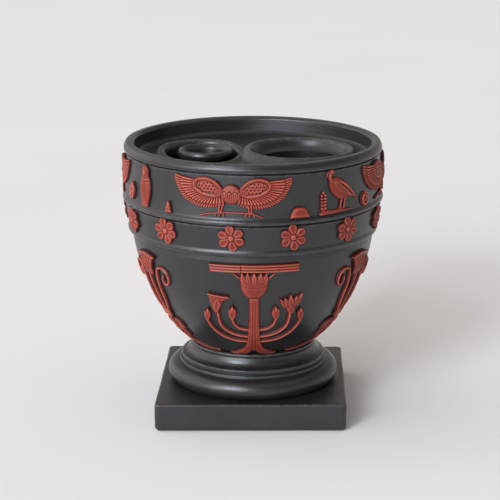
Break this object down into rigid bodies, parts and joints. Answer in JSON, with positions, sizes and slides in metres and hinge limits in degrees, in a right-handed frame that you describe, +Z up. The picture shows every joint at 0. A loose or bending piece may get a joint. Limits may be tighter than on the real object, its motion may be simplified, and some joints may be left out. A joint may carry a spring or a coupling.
{
  "type": "pyrophorus vase",
  "caption": "Footed bowl of black stoneware on a square plinth, with red Egyptian-style reliefs and a recessed deck whose lipped openings lead to wells, one of them holding a loose pot",
  "frame": {"origin": "on the surface the vase stands on, under the middle of the plinth", "axes": "+Z up, -Y the front of the plinth with a winged sun above a lotus column, +X towards the larger opening"},
  "size_m": [0.116, 0.1161, 0.121],
  "materials": {
    "basalt": "unglazed black stoneware, satin",
    "redware": "unglazed red stoneware, matte"
  },
  "bodies": {
    "vase": {"bowl": "basalt", "deck": "basalt", "small_well": "basalt", "large_well": "basalt", "foot": "basalt", "plinth": "basalt", "winged_sun_1": "redware", "winged_sun_2": "redware", "winged_sun_3": "redware", "winged_sun_4": "redware", "rosette_01": "redware", "rosette_02": "redware", "rosette_03": "redware", "rosette_04": "redware", "rosette_05": "redware", "rosette_06": "redware", "rosette_07": "redware", "rosette_08": "redware", "rosette_09": "redware", "rosette_10": "redware", "rosette_11": "redware", "rosette_12": "redware", "rosette_13": "redware", "mound_1": "redware", "mound_2": "redware", "ibis_1": "redware", "ibis_2": "redware", "oval_1": "redware", "oval_2": "redware", "oval_3": "redware", "oval_4": "redware", "jar_1": "redware", "jar_2": "redware", "cone_1": "redware", "cone_2": "redware", "lotus_column_1": "redware", "lotus_column_2": "redware", "lotus_column_3": "redware", "scroll_plant_1": "redware", "scroll_plant_2": "redware", "scroll_plant_3": "redware"},
    "pot": {"pot": "basalt"}
  },
  "joints": [
    {"name": "pot_lift", "type": "slide", "parent": "vase", "child": "pot", "axis": [0, 0, 1], "range_m": [0, 0.06]}
  ]
}
